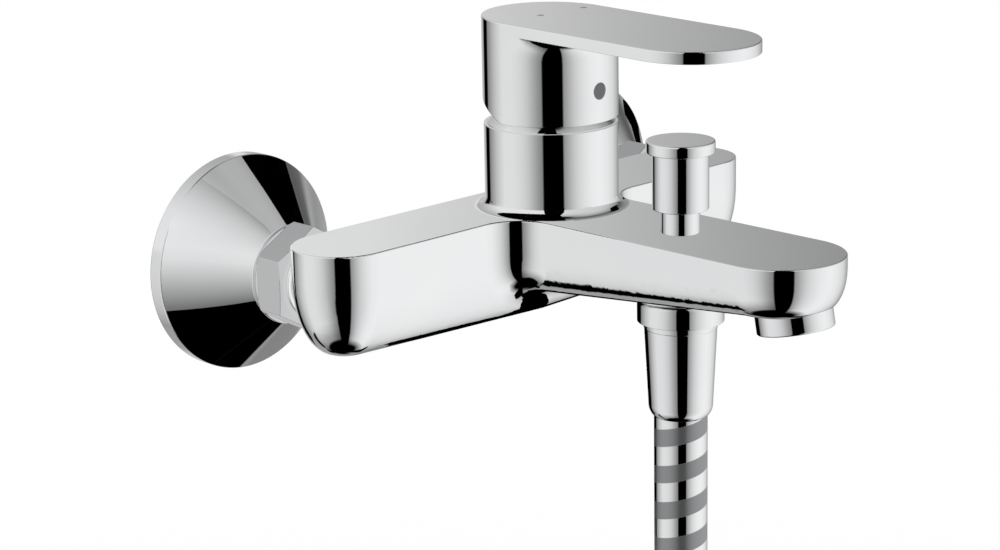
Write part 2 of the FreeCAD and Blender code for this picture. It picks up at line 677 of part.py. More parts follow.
def lever_plate():
    """Flat lever with vertical sides, flush with the handle's cylinder, and a softened rim."""
    front = LEVER_TIP_Y - HANDLE_R - 1
    back = COLUMN_Y + HANDLE_R + 1
    slab = Part.Face(wire([
        (-60, front, underside(front)), (-60, back, underside(back)),
        (-60, back, underside(back) + LEVER_THICK), (-60, front, underside(front) + LEVER_THICK),
    ])).extrude(V(120, 0, 0))
    plate = slab.common(stadium(HANDLE_R, 0, LEVER_TIP_Y, COLUMN_Y, 0, LEVER_TOP_Z + 2))
    rim = [edge for edge in plate.Edges
           if all(v.Z > underside(v.Y) + LEVER_THICK - 0.01 for v in edge.Vertexes)]
    return plate.makeFillet(LEVER_EDGE, rim)


def lever_neck(low):
    """Front half of the handle between low and the lever: it bends forward into the underside.

    The surface carries a half circle along a quarter ellipse, so its sides stay flush.
    """
    r = HANDLE_R
    weight = math.sqrt(0.5)
    poles = []
    weights = []
    for x, y, w in ((r, 0, 1), (r, -r, weight), (0, -r, 1), (-r, -r, weight), (-r, 0, 1)):
        y += COLUMN_Y
        ahead = y - LEVER_BLEND
        poles.append([V(x, y, low), V(x, y, underside(y)), V(x, ahead, underside(ahead))])
        weights.append([w, w * weight, w])
    surface = Part.BSplineSurface()
    surface.buildFromPolesMultsKnots(poles, [3, 2, 3], [3, 3], [0, 1, 2], [0, 1], False, False,
                                     2, 2, weights)

    def flat(curves, corners):
        lines = [Part.LineSegment(a, b).toShape() for a, b in zip(corners, corners[1:])]
        return Part.Face(Part.Wire(Part.__sortEdges__([c.toShape() for c in curves] + lines)))
    right, left = poles[0], poles[-1]
    right_back, left_back = V(r, COLUMN_Y, right[1].z), V(-r, COLUMN_Y, left[1].z)
    faces = [
        surface.toShape(),
        flat([surface.vIso(0)], [left[0], right[0]]),
        flat([surface.vIso(1)], [left[2], left_back, right_back, right[2]]),
        flat([surface.uIso(0)], [right[2], right_back, right[0]]),
        flat([surface.uIso(2)], [left[2], left_back, left[0]]),
        flat([], [right[0], right_back, left_back, left[0], right[0]]),
    ]
    shell = Part.makeShell(faces)
    shell.sewShape()
    solid = Part.makeSolid(shell)
    if solid.Volume < 0:
        solid.reverse()
    return solid


def handle():
    under = underside(COLUMN_Y)
    low = under - LEVER_BLEND
    skirt = cyl(HANDLE_R, HANDLE_BOTTOM_Z, low, 0, COLUMN_Y)
    rear = cyl(HANDLE_R, low, under + 1, 0, COLUMN_Y)
    rear = rear.common(box(-60, 60, COLUMN_Y, COLUMN_Y + 60, low, under + 1))
    shape = skirt.fuse([rear, lever_neck(low), lever_plate()]).removeSplitter()
    cavity_r = HANDLE_R - HANDLE_WALL
    shape = shape.cut(cyl(cavity_r, HANDLE_BOTTOM_Z - 1, HANDLE_CAVITY_TOP_Z, 0, COLUMN_Y))
    hub = cyl(HUB_R, HUB_BOTTOM_Z, HANDLE_CAVITY_TOP_Z + 1, 0, COLUMN_Y)
    screw_block = box(-4.6, 4.6, COLUMN_Y - cavity_r - 0.8, COLUMN_Y, HUB_BOTTOM_Z,
                      HANDLE_CAVITY_TOP_Z + 1)
    shape = shape.fuse(hub).fuse(screw_block)
    socket = STEM_HALF + RUNNING
    shape = shape.cut(box(-socket, socket, COLUMN_Y - socket, COLUMN_Y + socket,
                          HUB_BOTTOM_Z - 1, STEM_TOP_Z + 0.5))
    shape = shape.cut(cyl_y(SCREW_R + RUNNING, COLUMN_Y - HANDLE_R - 1, COLUMN_Y, 0, SCREW_Z))
    shape = shape.cut(cyl_y(PLUG_R + RUNNING, COLUMN_Y - HANDLE_R - 1, COLUMN_Y - 14.0, 0, SCREW_Z))
    return shape.cut(bevel_tool()).removeSplitter()


def grub_screw():
    face = COLUMN_Y - STEM_HALF
    screw = cyl_y(SCREW_R, face - 8, face, 0, SCREW_Z)
    key = Part.Face(wire([(1.15 * math.cos(math.radians(60 * i)), face - 8,
                           SCREW_Z + 1.15 * math.sin(math.radians(60 * i)))
                          for i in range(6)])).extrude(V(0, 2.5, 0))
    return screw.cut(key)


def screw_plug():
    """Plug with a face that follows the handle's cylinder."""
    plug = cyl_y(PLUG_R, COLUMN_Y - HANDLE_R - 1, COLUMN_Y - 16.5, 0, SCREW_Z)
    return plug.common(cyl(HANDLE_R, SCREW_Z - 5, SCREW_Z + 5, 0, COLUMN_Y))


# ---------------------------------------------------------------- diverter
def diverter_knob():
    under = KNOB_TOP_Z - KNOB_DISC_H
    shoulder = GUIDE_TOP_Z + 1.8
    rod_end = GUIDE_TOP_Z + 5.1
    return turned([
        (0, KNOB_TOP_Z), (KNOB_R, KNOB_TOP_Z, 0.5), (KNOB_R, under, 0.3), (SLEEVE_R, under),
        (SLEEVE_R, SLEEVE_BOTTOM_Z, 0.3), (GUIDE_R + 0.1, SLEEVE_BOTTOM_Z),
        (GUIDE_R + 0.1, shoulder), (ROD_R + RUNNING, shoulder), (ROD_R + RUNNING, rod_end),
        (0, rod_end),
    ], 0, DIVERTER_Y)


def diverter_guide():
    """Bush that the knob's sleeve slides over; the rod and its spring run inside."""
    y = DIVERTER_Y
    bottom = TOP_Z - 4.4
    guide = cyl(GUIDE_R, bottom, GUIDE_TOP_Z, 0, y)
    guide = guide.cut(cyl(SPRING_BORE_R, bottom - 1, GUIDE_TOP_Z - 7, 0, y))
    guide = guide.cut(cyl(ROD_R + 0.08, bottom, GUIDE_TOP_Z + 1, 0, y))
    return guide.cut(tube(GUIDE_R + 1, GUIDE_R - 0.9, TOP_Z - 3.0, TOP_Z - 2.0, 0, y))


def diverter_guide_seal():
    return ring(GUIDE_R - 0.46, 0.42, TOP_Z - 2.5, 0, DIVERTER_Y)


def diverter_rod():
    return cyl(ROD_R, SEAT_Z + 0.2, GUIDE_TOP_Z + 5, 0, DIVERTER_Y)


def valve_top():
    """Top of the valve at rest: raised by the travel, it closes the spout's way."""
    return CHAMBER_TOP_Z - DIVERTER_TRAVEL


def diverter_valve():
    return tube(6.2, ROD_R + RUNNING, SEAT_Z + 1.5, valve_top() - 1.5, 0, DIVERTER_Y)


def diverter_valve_seal():
    """Two rubber rings: the lower one rests on the shower outlet's seat."""
    lower = tube(6.8, ROD_R + RUNNING, SEAT_Z, SEAT_Z + 1.5, 0, DIVERTER_Y)
    upper = tube(6.8, ROD_R + RUNNING, valve_top() - 1.5, valve_top() - 0.05, 0, DIVERTER_Y)
    upper = upper.cut(cyl(SPRING_BORE_R, valve_top() - 1.0, valve_top(), 0, DIVERTER_Y))
    return Part.makeCompound([lower, upper])


def diverter_spring():
    return coil_spring(3.4, 0.45, valve_top() - 0.95, GUIDE_TOP_Z - 7.05, 7, 0, DIVERTER_Y)


# ---------------------------------------------------------------- shower outlet
def outlet_nipple():
    """Insert in the boss: valve seat above, hose thread below."""
    y = DIVERTER_Y
    r = NIPPLE_SOCKET_R - RUNNING
    nipple = cyl(r, BOSS_BOTTOM_Z, SEAT_Z, 0, y)
    nipple = nipple.fuse(cyl(NIPPLE_THREAD_R, NIPPLE_BOTTOM_Z, BOSS_BOTTOM_Z - 0.02, 0, y))
    nipple = nipple.fuse(cyl(r, BOSS_BOTTOM_Z - 1, BOSS_BOTTOM_Z + 1, 0, y))
    nipple = nipple.cut(cyl(NIPPLE_BORE_R, NIPPLE_BOTTOM_Z - 1, SEAT_Z - 2.8, 0, y))
    nipple = nipple.cut(cyl(5.0, SEAT_Z - 4, SEAT_Z + 1, 0, y))
    return nipple.cut(tube(r + 1, r - 1.1, SEAT_Z - 4.6, SEAT_Z - 3.4, 0, y))


def outlet_nipple_seal():
    return ring(NIPPLE_SOCKET_R - 0.58, 0.54, SEAT_Z - 4.0, 0, DIVERTER_Y)


def check_valve_body():
    """Small backflow valve cartridge in the nipple's bore."""
    y = DIVERTER_Y
    r = NIPPLE_BORE_R - RUNNING
    top = SEAT_Z - 5.0
    bottom = NIPPLE_BOTTOM_Z + 0.4
    body = tube(r, r - 1.2, bottom, top, 0, y)
    body = body.fuse(tube(r - 0.6, 4.2, top - 1.5, top, 0, y))
    spider = tube(r - 0.6, 1.35, bottom, bottom + 1.5, 0, y)
    for i in range(4):
        a = math.radians(45 + 90 * i)
        spider = spider.cut(cyl(1.35, bottom - 1, bottom + 2,
                                3.9 * math.cos(a), y + 3.9 * math.sin(a)))
    return body.fuse(spider)


def check_valve_poppet():
    y = DIVERTER_Y
    top = SEAT_Z - 5.0 - 1.5
    poppet = cyl(5.2, top - 1.5, top, 0, y)
    return poppet.fuse(cyl(1.25, top - 7.0, top - 1, 0, y))


def check_valve_spring():
    top = SEAT_Z - 5.0 - 1.5 - 1.5
    return coil_spring(2.4, 0.3, NIPPLE_BOTTOM_Z + 0.4 + 1.55, top - 0.05, 4, 0, DIVERTER_Y)


# ---------------------------------------------------------------- aerator
def aerator_ring():
    """Nozzle ring with a thread above it and an inner ledge that keeps the insert."""
    mouth = AERATOR_THREAD_R - 2.0
    bore = AERATOR_THREAD_R - 1.2
    ledge = -AERATOR_PROUD + 1.2
    return aerator_frame(turned([
        (mouth, -AERATOR_PROUD), (AERATOR_R, -AERATOR_PROUD, 0.6), (AERATOR_R, AERATOR_SEAT),
        (AERATOR_THREAD_R, AERATOR_SEAT), (AERATOR_THREAD_R, AERATOR_DEPTH - 1.2),
        (bore, AERATOR_DEPTH - 1.2), (bore, ledge), (mouth, ledge),
    ]))


def aerator_insert():
    """Jet former: a plug with a honeycomb of square ways, recessed in the ring."""
    r = AERATOR_THREAD_R - 1.2 - RUNNING
    plug = cyl(r, -AERATOR_PROUD + 1.25, AERATOR_DEPTH - 1.4)
    step = 2.4
    ways = []
    for i in range(-2, 3):
        for j in range(-2, 3):
            if math.hypot(i, j) * step + 1.0 < AERATOR_THREAD_R - 2.2:
                ways.append(box(i * step - 0.9, i * step + 0.9, j * step - 0.9, j * step + 0.9,
                                -AERATOR_PROUD, -AERATOR_PROUD + 5))
    return aerator_frame(plug.cut(ways[0].multiFuse(ways[1:])))


def aerator_seal():
    z0 = AERATOR_DEPTH - 1.2
    return aerator_frame(tube(AERATOR_THREAD_R - 0.1, 6.4, z0, AERATOR_DEPTH - 0.05))


# ---------------------------------------------------------------- hose
def hose_nut():
    """Conical nut with a plain collar at its mouth and a rounded foot."""
    y = DIVERTER_Y
    low = NUT_BOTTOM_Z + 3.8
    collar = NUT_TOP_Z - 1.8
    foot = Part.Arc(V(NUT_LOW_R, y, low), V(NUT_LOW_R - 0.55, y, NUT_BOTTOM_Z + 1.3),
                    V(NUT_LOW_R - 1.5, y, NUT_BOTTOM_Z)).toShape()
    bore = NIPPLE_THREAD_R + RUNNING
    loose = FERRULE_R + 0.15
    top = [(bore, NUT_TOP_Z), (NUT_TOP_R, NUT_TOP_Z), (NUT_TOP_R, collar),
           (NUT_TOP_R - 0.15, collar - 0.15), (NUT_LOW_R, low)]
    bottom = [(NUT_LOW_R - 1.5, NUT_BOTTOM_Z), (loose, NUT_BOTTOM_Z), (loose, NUT_FLANGE_Z),
              (bore, NUT_FLANGE_Z), (bore, NUT_TOP_Z)]
    edges = [Part.LineSegment(V(a[0], y, a[1]), V(b[0], y, b[1])).toShape()
             for part in (top, bottom) for a, b in zip(part, part[1:])]
    edges.insert(len(top) - 1, foot)
    return Part.Face(Part.Wire(edges)).revolve(V(0, y, 0), UP, 360)


def hose_washer():
    return tube(NIPPLE_THREAD_R - 0.4, 5.4, NIPPLE_BOTTOM_Z - 2.0, NIPPLE_BOTTOM_Z, 0, DIVERTER_Y)


def hose_ferrule():
    y = DIVERTER_Y
    ferrule = cyl(NIPPLE_THREAD_R - 0.3, NUT_FLANGE_Z, NIPPLE_BOTTOM_Z - 2.0, 0, y)
    ferrule = ferrule.fuse(cyl(FERRULE_R, HOSE_TOP_Z, NUT_FLANGE_Z + 1, 0, y))
    return ferrule.cut(cyl(5.0, HOSE_TOP_Z - 1, 0, 0, y))


def coil_centre():
    return V(-COIL_R, DIVERTER_Y, COIL_TOP_Z - COIL_R - HOSE_R)


def coil_turns():
    """Turns that take up the hose's length beyond its straight stretches."""
    straight = HOSE_TOP_Z - coil_centre().z + TAIL_LENGTH
    return (HOSE_LENGTH - straight) / (2 * math.pi * COIL_R)


def coil_width():
    return 2 * HOSE_R + COIL_STEP * coil_turns()


def tail_start():
    """Where the hose leaves the coil, and the direction that it leaves in."""
    turn = math.radians(360 * coil_turns())
    c = coil_centre()
    y = DIVERTER_Y + COIL_STEP * coil_turns()
    start = V(c.x + COIL_R * math.cos(turn), y, c.z - COIL_R * math.sin(turn))
    return start, V(-math.sin(turn), 0, -math.cos(turn))


def hose():
    """The stretch that hangs straight down to the coil."""
    return cyl(HOSE_R, coil_centre().z, HOSE_TOP_Z, 0, DIVERTER_Y)


def hose_coil():
    """Outer shape of the tied coil, a ring that hangs in a plane beside the wall."""
    c = coil_centre()
    outer = Part.makeCylinder(COIL_R + HOSE_R, coil_width(), V(c.x, c.y - HOSE_R, c.z), BACK)
    inner = Part.makeCylinder(COIL_R - HOSE_R, coil_width() + 2, V(c.x, c.y - HOSE_R - 1, c.z),
                              BACK)
    return outer.cut(inner)


def coil_ties():
    """Two straps round the turns of the coil."""
    c = coil_centre()
    width = coil_width()
    thick = 1.2
    straps = []
    for angle in (90, 215):
        outer = box(COIL_R - HOSE_R - thick, COIL_R + HOSE_R + thick, -HOSE_R - thick,
                    width - HOSE_R + thick, -6, 6)
        inner = box(COIL_R - HOSE_R - 0.4, COIL_R + HOSE_R + 0.1, -HOSE_R - 0.1,
                    width - HOSE_R + 0.1, -7, 7)
        strap = outer.cut(inner)
        strap.rotate(V(0, 0, 0), BACK, -angle)
        strap.translate(c)
        straps.append(strap)
    return Part.makeCompound(straps)


def along(shape, start, direction):
    """Move a shape modelled along +Z from the origin to start, along direction."""
    turn = FreeCAD.Rotation(UP, direction)
    shape.Placement = FreeCAD.Placement(start, turn)
    return shape


def hose_tail():
    start, direction = tail_start()
    return along(Part.makeCylinder(HOSE_R, TAIL_LENGTH), start, direction)


def connector_ferrule():
    start, direction = tail_start()
    sleeve = Part.makeCylinder(FERRULE_R, 16, V(0, 0, TAIL_LENGTH))
    flange = Part.makeCylinder(CONNECTOR_THREAD_R - 0.4, 1.8, V(0, 0, TAIL_LENGTH + 15.4))
    bore = Part.makeCylinder(5.0, 40, V(0, 0, TAIL_LENGTH - 1))
    return along(sleeve.fuse(flange).cut(bore), start, direction)


def hose_connector():
    """Hexagon nut that a hand shower screws into."""
    start, direction = tail_start()
    z0 = TAIL_LENGTH + 3
    shell = Part.makeCylinder(CONNECTOR_R, 26, V(0, 0, z0))
    grip = hexagon(22.6, z0 + 14, z0 + 27)
    shell = shell.common(Part.makeCone(CONNECTOR_R - 1.2, CONNECTOR_R + 2.2, 26, V(0, 0, z0)))
    nut = shell.fuse(grip.common(Part.makeCylinder(12.6, 30, V(0, 0, z0 + 13))))
    shoulder = TAIL_LENGTH + 15.3
    nut = nut.cut(Part.makeCylinder(FERRULE_R + 0.15, 30, V(0, 0, z0 - 1)))
    nut = nut.cut(Part.makeCylinder(CONNECTOR_THREAD_R, 30, V(0, 0, shoulder)))
    relief = Part.makeCylinder(CONNECTOR_THREAD_R + 0.6, 2.4, V(0, 0, shoulder))
    return along(nut.cut(relief), start, direction)


# ---------------------------------------------------------------- build
SIDES = (("left", -1), ("right", 1))
PAIRS = (("s_union", s_union), ("escutcheon", escutcheon), ("union_nut", union_nut),
         ("inlet_nipple", inlet_nipple), ("filter_washer", filter_washer))
SINGLES = (
    mixer_body, cartridge_base, cartridge_base_seals, cartridge_o_ring, fixed_disc, moving_disc,
    disc_carrier, cartridge_rotor, pivot_pin, lever_stem, cartridge_housing, cartridge_nut,
    neck_dome, handle, grub_screw, screw_plug, diverter_knob, diverter_guide,
    diverter_guide_seal, diverter_rod, diverter_valve, diverter_valve_seal, diverter_spring,
    outlet_nipple, outlet_nipple_seal, check_valve_body, check_valve_poppet, check_valve_spring,
    aerator_ring, aerator_insert, aerator_seal, hose_nut, hose_washer, hose_ferrule, hose,
    hose_coil, coil_ties, hose_tail, connector_ferrule, hose_connector,
)


def main():
    os.makedirs("parts", exist_ok=True)
    for piece in SINGLES:
        save(piece.__name__, piece())
    for name, piece in PAIRS:
        for label, side in SIDES:
            save("%s_%s" % (name, label), piece(side))
    print("coil turns %.3f" % coil_turns(), "tail", tail_start())


main()
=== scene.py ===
import bpy
import json
import math
import numpy as np
from mathutils import Matrix, Vector


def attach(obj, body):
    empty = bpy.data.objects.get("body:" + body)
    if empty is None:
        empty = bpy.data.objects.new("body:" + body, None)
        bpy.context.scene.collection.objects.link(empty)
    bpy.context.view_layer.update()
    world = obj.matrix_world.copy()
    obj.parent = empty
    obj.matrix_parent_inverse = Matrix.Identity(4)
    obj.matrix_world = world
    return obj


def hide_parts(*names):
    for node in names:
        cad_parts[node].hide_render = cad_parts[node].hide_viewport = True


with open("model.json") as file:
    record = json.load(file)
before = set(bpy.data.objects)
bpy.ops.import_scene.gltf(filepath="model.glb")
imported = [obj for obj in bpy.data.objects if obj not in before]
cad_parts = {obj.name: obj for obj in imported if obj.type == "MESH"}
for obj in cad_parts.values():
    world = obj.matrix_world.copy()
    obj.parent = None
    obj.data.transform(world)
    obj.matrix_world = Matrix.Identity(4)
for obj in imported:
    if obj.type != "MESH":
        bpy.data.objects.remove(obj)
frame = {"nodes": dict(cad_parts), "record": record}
bpy.context.scene.view_settings.view_transform = "Standard"
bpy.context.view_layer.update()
nodes = frame["nodes"]
print("frame loaded with", len(nodes), "nodes")

# camera: angles in degrees, lengths in metres
viewSettings = {
    "azimuth": 44.393,
    "elevation": 15.862,
    "roll": -1.1,
    "distance": 0.8595,
    "lookAt": (-0.038, -0.080, -0.0085),
    "lens": 101.72,
    "shiftY": 0.032,
}


def placeCamera(s):
    # the camera looks back along the line that leaves lookAt at azimuth and elevation, then rolls
    a = math.radians(s["azimuth"])
    e = math.radians(s["elevation"])
    r = math.radians(s["roll"])
    back = Vector((-math.sin(a) * math.cos(e), -math.cos(a) * math.cos(e), math.sin(e)))
    right = Vector((math.cos(a), -math.sin(a), 0))
    up = back.cross(right)
    turnedRight = math.cos(r) * right + math.sin(r) * up
    turnedUp = math.cos(r) * up - math.sin(r) * right
    data = bpy.data.cameras.new("viewCamera")
    data.lens = s["lens"]
    data.sensor_width = 36
    data.shift_y = s["shiftY"]
    data.clip_start = 0.01
    camera = bpy.data.objects.new("viewCamera", data)
    bpy.context.scene.collection.objects.link(camera)
    turn = Matrix((turnedRight, turnedUp, back)).transposed().to_4x4()
    camera.matrix_world = Matrix.Translation(Vector(s["lookAt"]) + s["distance"] * back) @ turn
    bpy.context.scene.camera = camera


placeCamera(viewSettings)
print("camera placed")


def unit(vectors):
    return vectors / np.linalg.norm(vectors, axis=-1, keepdims=True)


def surfaceMesh(name, points, wrapMap, closedAlong=False):
    # points[i, j]: i runs along, j runs round and closes on itself; open ends are capped.
    # wrapMap[i, j] has one more row round than points, and one more along where it closes there
    rows, sides = points.shape[:2]
    last = rows if closedAlong else rows - 1
    i, j = np.meshgrid(np.arange(last), np.arange(sides), indexing="ij")
    corners = ((i, j), (i, j + 1), (i + 1, j + 1), (i + 1, j))
    quads = np.stack([(a % rows) * sides + b % sides for a, b in corners], axis=-1).reshape(-1, 4)
    quadMap = np.stack([wrapMap[a, b] for a, b in corners], axis=-2).reshape(-1, 2)
    loops, loopMap = quads.ravel(), quadMap
    starts = np.arange(len(quads)) * 4
    if not closedAlong:
        first = np.arange(sides)[::-1]
        final = np.arange(sides) + (rows - 1) * sides
        starts = np.append(starts, (len(loops), len(loops) + sides))
        loops = np.concatenate((loops, first, final))
        loopMap = np.concatenate((loopMap, wrapMap[0, first], wrapMap[rows - 1, :sides]))
    mesh = bpy.data.meshes.new(name)
    mesh.vertices.add(rows * sides)
    mesh.vertices.foreach_set("co", points.reshape(-1).astype(np.float32))
    mesh.loops.add(len(loops))
    mesh.loops.foreach_set("vertex_index", loops.astype(np.int32))
    mesh.polygons.add(len(starts))
    mesh.polygons.foreach_set("loop_start", starts.astype(np.int32))
    smooth = np.ones(len(starts), dtype=bool)
    smooth[len(quads):] = False
    mesh.update(calc_edges=True)
    mesh.polygons.foreach_set("use_smooth", smooth)
    mesh.uv_layers.new(name="wrap").data.foreach_set("uv", loopMap.ravel().astype(np.float32))
    mesh.validate()
    if not closedAlong:
        mesh.set_sharp_from_angle(angle=math.radians(50))
    mesh.update()
    piece = bpy.data.objects.new(name, mesh)
    bpy.context.scene.collection.objects.link(piece)
    return piece


# shower hose: straight down from its nut, and what is left over is wound in a tied coil
hoseSettings = {
    "exit": (0, -0.1196, -0.0432),
    "dropTo": (0, -0.1196, -0.1629),
    "coilCentre": (-0.085, -0.1196, -0.18525),
    "pointRadius": 0.08787,      # of the line's points; the line runs inside them
    "lineRadius": 0.0851,        # of the line itself
    "coilPoints": 24,
    "turns": 1.958,
    "step": 0.0168,              # from one turn to the next
    "tailEnd": (0.013123, -0.086698, -0.223209),
    "length": 1.25,
    "diameter": 0.0165,
    "sides": 48,
}


def hoseLine(s):
    # coil point k stands at the angle t = (k + 1/2) * turns * 360 / coilPoints and is
    # centre + pointRadius * (cos t, 0, -sin t) + step * t / 360 along Y
    t = (np.arange(s["coilPoints"]) + 0.5) * s["turns"] * 2 * math.pi / s["coilPoints"]
    coil = np.stack((s["pointRadius"] * np.cos(t), s["step"] * t / (2 * math.pi),
                     -s["pointRadius"] * np.sin(t)), axis=1) + s["coilCentre"]
    points = np.vstack((s["exit"], s["dropTo"], coil, s["tailEnd"]))
    curve = bpy.data.curves.new("hoseLine", "CURVE")
    curve.dimensions = "3D"
    curve.resolution_u = 14
    spline = curve.splines.new("NURBS")
    spline.points.add(len(points) - 1)
    spline.points.foreach_set("co", np.column_stack((points, np.ones(len(points)))).ravel())
    spline.order_u = 3
    spline.use_endpoint_u = True
    line = bpy.data.objects.new("hoseLine", curve)
    mesh = bpy.data.meshes.new_from_object(line)
    path = np.zeros(len(mesh.vertices) * 3)
    mesh.vertices.foreach_get("co", path)
    bpy.data.objects.remove(line)
    bpy.data.meshes.remove(mesh)
    return path.reshape(-1, 3)


def makeHose(s):
    # point(a, v) = line(v) + radius * (cos a * side + sin a * across)
    path = hoseLine(s)
    along = np.concatenate(([0], np.cumsum(np.linalg.norm(np.diff(path, axis=0), axis=1))))
    tangent = unit(np.gradient(path, along, axis=0))
    side = unit(np.cross(tangent, (0, 1, 0)))
    across = np.cross(tangent, side)
    angle = np.arange(s["sides"]) * 2 * math.pi / s["sides"]
    radius = s["diameter"] / 2
    points = (path[:, None] + radius * (np.cos(angle)[None, :, None] * side[:, None]
                                        + np.sin(angle)[None, :, None] * across[:, None]))
    turnShare = np.arange(s["sides"] + 1) / s["sides"]
    wrapMap = np.stack(np.broadcast_arrays(turnShare[None, :], along[:, None]), axis=-1)
    hose = surfaceMesh("showerHose", points, wrapMap)
    print("hose line", round(along[-1], 3), "m long")
    return hose, path


hose, hosePath = makeHose(hoseSettings)
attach(hose, "mixer")
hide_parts("hose", "hose_coil", "hose_tail")

# straps round the coil's two turns, with a second layer where each one closes
strapSettings = {
    "angles": (145, 270),
    "width": 0.012,
    "thickness": 0.0011,
    "clear": 0.0003,
    "loopPoints": 40,
    "sectionPoints": 20,
    "overlap": (0.55, 1.30),      # the closing layer's reach, as shares of the loop
    "secondLayer": 1.08,          # its distance outside the first one, in thicknesses
    "turnIn": 12,                 # how soon the loop's straight sides go over into its ends
    "rounding": (0.35, 0.7),      # exponents of the section's width and thickness
    "weaveRadius": 0.0092,        # of the loop's ends, for the weave's scale
}


def strapPoints(s, h, degrees, lift, share):
    # the loop is a stadium round the two strands: for a direction a round the strands' common
    # middle, centre + radius * (cos a * radial + sin a * Y), moved half a step towards sin a.
    # the band's section is a flat superellipse: it goes with |cos b|^0.35 in width and with
    # |sin b|^0.7 in thickness
    t = math.radians(degrees)
    radial = np.array((math.cos(t), 0, -math.sin(t)))
    tangent = np.array((-math.sin(t), 0, -math.cos(t)))
    low = h["step"] * t / (2 * math.pi)
    middle = np.array(h["coilCentre"]) + h["lineRadius"] * radial + (0, low + h["step"] / 2, 0)
    a = share * 2 * math.pi
    outward = np.cos(a)[:, None] * radial + np.sin(a)[:, None] * np.array((0, 1, 0))
    radius = h["diameter"] / 2 + s["clear"] + s["thickness"] * (0.5 + lift)
    shift = np.clip(np.sin(a) * s["turnIn"], -1, 1)[:, None] * np.array((0, h["step"] / 2, 0))
    loop = middle + shift + radius * outward
    b = np.arange(s["sectionPoints"]) * 2 * math.pi / s["sectionPoints"]
    wide = np.sign(np.cos(b)) * np.abs(np.cos(b)) ** s["rounding"][0] * s["width"] / 2
    thick = np.sign(np.sin(b)) * np.abs(np.sin(b)) ** s["rounding"][1] * s["thickness"] / 2
    points = (loop[:, None] + wide[None, :, None] * tangent
              + thick[None, :, None] * outward[:, None])
    return points, wide


def makeStrap(name, degrees, lift, share, closed):
    s, h = strapSettings, hoseSettings
    points, wide = strapPoints(s, h, degrees, lift, share)
    length = 2 * math.pi * s["weaveRadius"] + 2 * h["step"]
    rows = np.append(share, share[0] + 1) if closed else share
    widths = np.append(wide, wide[0])
    wrapMap = np.stack(np.broadcast_arrays(rows[:, None] * length, widths[None, :]), axis=-1)
    strap = surfaceMesh(name, points, wrapMap, closedAlong=closed)
    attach(strap, "mixer")
    return strap


straps = []
fullLoop = np.arange(strapSettings["loopPoints"]) / strapSettings["loopPoints"]
closing = np.linspace(*strapSettings["overlap"], strapSettings["loopPoints"])
for number, degrees in enumerate(strapSettings["angles"], start=1):
    straps.append(makeStrap("strapLoop%d" % number, degrees, 0, fullLoop, True))
    straps.append(makeStrap("strapEnd%d" % number, degrees, strapSettings["secondLayer"], closing,
                            False))
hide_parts("coil_ties")
print("hose and straps made")

# surroundings: greys as they show on the screen, angles in degrees. The first angle goes round
# from the camera's side, to the right positive; the second one is the height above the horizon
studio = {
    "towardsCamera": 225.607,     # degrees from +X, where the camera stands
    "plateGrey": 0.86,            # what polished plate gives back
    "screenPower": 2.2,           # from a grey on the screen to light
    "sideBlend": (-0.1, 0.1),     # where the left depths go over into the right ones
    "side": [
        (-180, .62), (-170, .75), (-160, .70), (-151, .57), (-148.5, 0), (-135, 0), (-132, .50),
        (-120, .63), (-110, .73), (-100, .80), (-90, .86), (-70, .86), (-60, .84), (-50, .81),
        (-40, .75), (-30, .65), (-20, .54), (-16, .50), (-14.5, 0), (18.5, 0), (20, .55), (30, .68),
        (40, .78), (50, .84), (60, .88), (70, .91), (90, .93), (110, .90), (130, .83), (150, .67),
        (160, .55), (180, .62),
    ],
    "upper": [
        (-180, .77), (-177, .84), (-174.5, .84), (-172, .64), (-160, .68), (-145, .73),
        (-120, .82), (-110, .87), (-100, .88), (-30, .88), (0, .87), (30, .82), (60, .80),
        (90, .78), (110, .72), (135, .55), (146, .34), (155, .43), (165, .52), (172, .54),
        (180, .77),
    ],
    "leftDepth": [(-90, 0), (-66, 0), (-62, .66), (-55, .76), (-48, .9), (-40, 1), (0, 1)],
    "rightDepth": [(-90, 0), (-77, 0), (-73, .45), (-70, .66), (-64, .98), (-50, 1), (0, 1)],
    "lift": (2, 9),               # from the side greys to the upper ones
    "high": [(0, 1), (42, 1), (52, .94), (58, .92), (64, .86), (67, .79), (70, .74), (72, .66),
             (75, .3), (78, 0), (90, 0)],      # how the upper greys fall off with height
    # cards: round, half width, height, half height, soft edge, slant, grey
    "cards": [
        (167, 9, -35, 15, 3, 0, .5),
        (147, 13, -65, 10.5, 2, 0, 0),
        (-115, 6.5, -48.5, 7.5, 2.5, -.7, 0),
        (-150, 24, -46.5, 9.5, 3, 0, .60),
        (2, 16.5, 50, 60, 1.5, 0, 0),
        (-14, 32, 80, 14, 4, 0, 0),
    ],
}


def join(tree, socket, value):
    if isinstance(value, (int, float)):
        socket.default_value = value
    elif value is not None:
        tree.links.new(value, socket)


def sums(tree, operation, *values):
    node = tree.nodes.new("ShaderNodeMath")
    node.operation = operation
    for socket, value in zip(node.inputs, values):
        join(tree, socket, value)
    return node.outputs[0]


def smoothStep(tree, value, low, high):
    node = tree.nodes.new("ShaderNodeMapRange")
    node.interpolation_type = "SMOOTHSTEP"
    join(tree, node.inputs["Value"], value)
    node.inputs["From Min"].default_value = low
    node.inputs["From Max"].default_value = high
    return node.outputs["Result"]


def mixValue(tree, factor, a, b):
    node = tree.nodes.new("ShaderNodeMix")
    join(tree, node.inputs[0], factor)
    join(tree, node.inputs[2], a)
    join(tree, node.inputs[3], b)
    return node.outputs[0]


def mixColour(tree, factor, a, b):
    node = tree.nodes.new("ShaderNodeMix")
    node.data_type = "RGBA"
    join(tree, node.inputs[0], factor)
    for socket, value in ((node.inputs[6], a), (node.inputs[7], b)):
        if isinstance(value, tuple):
            socket.default_value = (*value, 1)
        else:
            tree.links.new(value, socket)
    return node.outputs[2]


